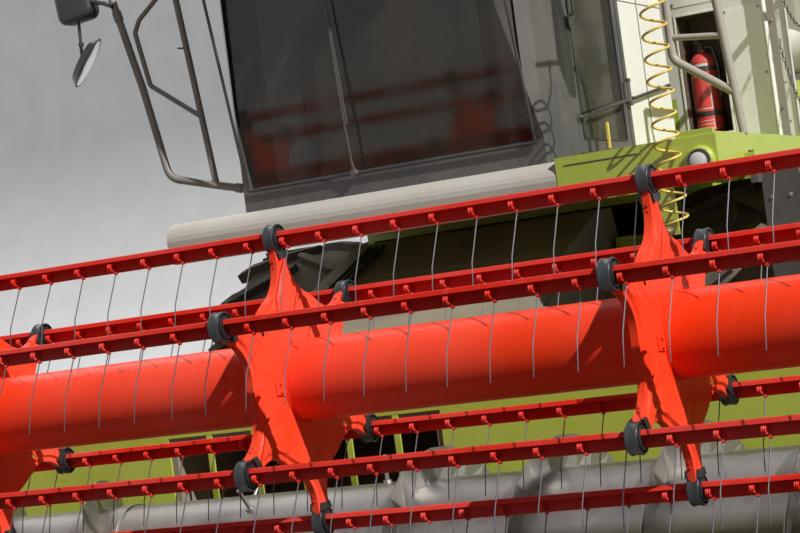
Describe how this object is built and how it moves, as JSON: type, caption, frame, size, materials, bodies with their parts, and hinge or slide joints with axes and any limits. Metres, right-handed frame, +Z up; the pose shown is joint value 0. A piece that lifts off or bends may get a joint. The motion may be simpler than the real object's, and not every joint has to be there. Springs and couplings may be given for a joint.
{
  "type": "combine harvester",
  "caption": "Self-propelled combine harvester with a wide grain header, tined reel, cab, grain tank and swinging unloading tube.",
  "frame": {"origin": "on the ground, in the middle of the machine's length and width", "axes": "+Z up, -Y the way the machine drives and cuts, +X to the driver's left, the side the ladder and the unloading tube are on"},
  "size_m": [7.872, 11.1, 3.826],
  "materials": {
    "lime_paint": "gloss",
    "pale_paint": "gloss",
    "red_paint": "gloss",
    "dark_paint": "satin",
    "worn_steel": "worn",
    "tyre": "dusty",
    "tinted_glass": "tinted",
    "black_plastic": "matte",
    "pale_plastic": "satin",
    "seat_cloth": "woven",
    "step_coating": "satin",
    "extinguisher_red": "gloss",
    "hose_yellow": "gloss",
    "lamp_lens": "clear"
  },
  "bodies": {
    "machine": {"chassis_frame": "dark_paint", "rear_axle": "dark_paint", "body_shell": "lime_paint", "side_panels": "lime_paint", "grain_tank": "pale_paint", "engine_hood": "pale_paint", "engine_block": "dark_paint", "straw_hood": "lime_paint", "platform": "lime_paint", "cab_step": "step_coating", "railings": "pale_paint", "cab_frame": "dark_paint", "cab_roof": "pale_plastic", "cab_glass": "tinted_glass", "operator_seat": "seat_cloth", "cab_controls": "black_plastic", "mirrors": "black_plastic", "lamps": "lamp_lens", "extinguisher": "extinguisher_red", "air_hose": "hose_yellow"},
    "door": {"cab_door": "dark_paint", "door_glass": "tinted_glass"},
    "ladder": {"boarding_ladder": "dark_paint"},
    "unloading_tube": {"unloading_auger": "pale_paint"},
    "cover_left": {"tank_cover_left": "black_plastic"},
    "cover_right": {"tank_cover_right": "black_plastic"},
    "front_wheel_left": {"front_tyre_left": "tyre", "front_rim_left": "red_paint"},
    "front_wheel_right": {"front_tyre_right": "tyre", "front_rim_right": "red_paint"},
    "knuckle_left": {"knuckle_left": "dark_paint"},
    "rear_wheel_left": {"rear_tyre_left": "tyre", "rear_rim_left": "red_paint"},
    "knuckle_right": {"knuckle_right": "dark_paint"},
    "rear_wheel_right": {"rear_tyre_right": "tyre", "rear_rim_right": "red_paint"},
    "tie_rod": {"tie_rod": "worn_steel"},
    "header": {"feeder_house": "lime_paint", "header_frame": "lime_paint", "knife_guards": "worn_steel"},
    "knife": {"knife": "worn_steel"},
    "auger": {"intake_auger": "worn_steel"},
    "lift_barrels": {"lift_barrels": "dark_paint"},
    "lift_rods": {"lift_rods": "worn_steel"},
    "reel_arms": {"reel_arms": "red_paint"},
    "reel_barrels": {"reel_barrels": "dark_paint"},
    "reel_lift_rods": {"reel_lift_rods": "worn_steel"},
    "reel_slides": {"reel_slides": "dark_paint"},
    "reel": {"reel_rotor": "red_paint", "reel_caps": "black_plastic"},
    "eccentric": {"eccentric_star": "red_paint"},
    "tine_bar_1": {"tine_bar_1": "red_paint"},
    "tine_bar_2": {"tine_bar_2": "red_paint"},
    "tine_bar_3": {"tine_bar_3": "red_paint"},
    "tine_bar_4": {"tine_bar_4": "red_paint"},
    "tine_bar_5": {"tine_bar_5": "red_paint"},
    "tine_bar_6": {"tine_bar_6": "red_paint"}
  },
  "joints": [
    {"name": "front_wheel_left_spin", "type": "hinge", "parent": "machine", "child": "front_wheel_left", "pos_m": [1.3, -0.4, 0.925], "axis": [1, 0, 0], "continuous": true},
    {"name": "front_wheel_right_spin", "type": "hinge", "parent": "machine", "child": "front_wheel_right", "pos_m": [-1.3, -0.4, 0.925], "axis": [1, 0, 0], "continuous": true},
    {"name": "steer", "type": "hinge", "parent": "machine", "child": "knuckle_left", "pos_m": [0.95, 3.35, 0.655], "axis": [0, 0, 1], "range_deg": [-38, 38]},
    {"name": "steer_right", "type": "hinge", "parent": "machine", "child": "knuckle_right", "pos_m": [-0.95, 3.35, 0.655], "axis": [0, 0, 1], "range_deg": [-38.5, 38.5]},
    {"name": "tie_rod_turn", "type": "hinge", "parent": "knuckle_left", "child": "tie_rod", "pos_m": [0.95, 3.58, 0.669], "axis": [0, 0, 1], "range_deg": [-38.5, 38.5]},
    {"name": "rear_wheel_left_spin", "type": "hinge", "parent": "knuckle_left", "child": "rear_wheel_left", "pos_m": [1.25, 3.35, 0.655], "axis": [1, 0, 0], "continuous": true},
    {"name": "rear_wheel_right_spin", "type": "hinge", "parent": "knuckle_right", "child": "rear_wheel_right", "pos_m": [-1.25, 3.35, 0.655], "axis": [1, 0, 0], "continuous": true},
    {"name": "header_lift", "type": "hinge", "parent": "machine", "child": "header", "pos_m": [0, -1, 1.5], "axis": [-1, 0, 0], "range_deg": [-0.7, 17]},
    {"name": "lift_barrel_turn", "type": "hinge", "parent": "machine", "child": "lift_barrels", "pos_m": [0, -0.5, 0.6], "axis": [-1, 0, 0], "range_deg": [-0.48, 11.73]},
    {"name": "lift_rod_slide", "type": "slide", "parent": "lift_barrels", "child": "lift_rods", "axis": [0, -1, 0], "range_m": [-0.0107, 0.25975]},
    {"name": "knife_stroke", "type": "slide", "parent": "header", "child": "knife", "axis": [1, 0, 0], "range_m": [-0.038, 0.038]},
    {"name": "auger_spin", "type": "hinge", "parent": "header", "child": "auger", "pos_m": [0, -3.55, 0.48], "axis": [1, 0, 0], "continuous": true},
    {"name": "reel_lift", "type": "hinge", "parent": "header", "child": "reel_arms", "pos_m": [0, -3.14, 1.29], "axis": [-1, 0, 0], "range_deg": [-2.5, 22]},
    {"name": "reel_barrel_turn", "type": "hinge", "parent": "header", "child": "reel_barrels", "pos_m": [0, -3.3, 0.76], "axis": [-1, 0, 0], "range_deg": [-1.51, 13.29]},
    {"name": "reel_rod_slide", "type": "slide", "parent": "reel_barrels", "child": "reel_lift_rods", "axis": [0, -0.7474, 0.6644], "range_m": [-0.02135, 0.18789]},
    {"name": "reel_reach", "type": "slide", "parent": "reel_arms", "child": "reel_slides", "axis": [0, -1, 0], "range_m": [0, 0.3]},
    {"name": "reel_spin", "type": "hinge", "parent": "reel_slides", "child": "reel", "pos_m": [0, -4.4, 1.16], "axis": [1, 0, 0], "continuous": true},
    {"name": "tine_bar_1_turn", "type": "hinge", "parent": "reel", "child": "tine_bar_1", "pos_m": [0, -4.44408, 1.69619], "axis": [1, 0, 0], "continuous": true},
    {"name": "tine_bar_2_turn", "type": "hinge", "parent": "reel", "child": "tine_bar_2", "pos_m": [0, -4.8864, 1.38992], "axis": [1, 0, 0], "continuous": true},
    {"name": "tine_bar_3_turn", "type": "hinge", "parent": "reel", "child": "tine_bar_3", "pos_m": [0, -4.84231, 0.85373], "axis": [1, 0, 0], "continuous": true},
    {"name": "tine_bar_4_turn", "type": "hinge", "parent": "reel", "child": "tine_bar_4", "pos_m": [0, -4.35592, 0.62381], "axis": [1, 0, 0], "continuous": true},
    {"name": "tine_bar_5_turn", "type": "hinge", "parent": "reel", "child": "tine_bar_5", "pos_m": [0, -3.9136, 0.93008], "axis": [1, 0, 0], "continuous": true},
    {"name": "tine_bar_6_turn", "type": "hinge", "parent": "reel", "child": "tine_bar_6", "pos_m": [0, -3.95769, 1.46627], "axis": [1, 0, 0], "continuous": true},
    {"name": "eccentric_spin", "type": "hinge", "parent": "reel_slides", "child": "eccentric", "pos_m": [3.796, -4.43, 1.065], "axis": [1, 0, 0], "continuous": true},
    {"name": "door_open", "type": "hinge", "parent": "machine", "child": "door", "pos_m": [0.897, -1.036, 2.65], "axis": [0, 0, 1], "range_deg": [0, 85]},
    {"name": "ladder_swing", "type": "hinge", "parent": "machine", "child": "ladder", "pos_m": [1.776, -1.87, 1.3], "axis": [0, 0, -1], "range_deg": [0, 170]},
    {"name": "unloading_swing", "type": "hinge", "parent": "machine", "child": "unloading_tube", "pos_m": [1.592, 0.22, 3.2], "axis": [0, 0, -1], "range_deg": [0, 100]},
    {"name": "tank_cover_open", "type": "hinge", "parent": "machine", "child": "cover_left", "pos_m": [1.356, 0.9, 3.618], "axis": [0, 1, 0], "range_deg": [0, 110]},
    {"name": "tank_cover_right_open", "type": "hinge", "parent": "machine", "child": "cover_right", "pos_m": [-1.356, 0.9, 3.618], "axis": [0, 1, 0], "range_deg": [-110.5, 0.5]}
  ],
  "couplings": [
    {"joint": "steer_right", "follows": "steer", "ratio": 1},
    {"joint": "tie_rod_turn", "follows": "steer", "ratio": -1},
    {"joint": "lift_barrel_turn", "follows": "header_lift", "ratio": 0.67628},
    {"joint": "lift_rod_slide", "follows": "header_lift", "m_per_rad": 0.85827},
    {"joint": "reel_barrel_turn", "follows": "reel_lift", "ratio": 0.59244},
    {"joint": "reel_rod_slide", "follows": "reel_lift", "m_per_rad": 0.47975},
    {"joint": "tine_bar_1_turn", "follows": "reel_spin", "ratio": -1},
    {"joint": "tine_bar_2_turn", "follows": "reel_spin", "ratio": -1},
    {"joint": "tine_bar_3_turn", "follows": "reel_spin", "ratio": -1},
    {"joint": "tine_bar_4_turn", "follows": "reel_spin", "ratio": -1},
    {"joint": "tine_bar_5_turn", "follows": "reel_spin", "ratio": -1},
    {"joint": "tine_bar_6_turn", "follows": "reel_spin", "ratio": -1},
    {"joint": "eccentric_spin", "follows": "reel_spin", "ratio": 1},
    {"joint": "tank_cover_right_open", "follows": "tank_cover_open", "ratio": -1}
  ]
}
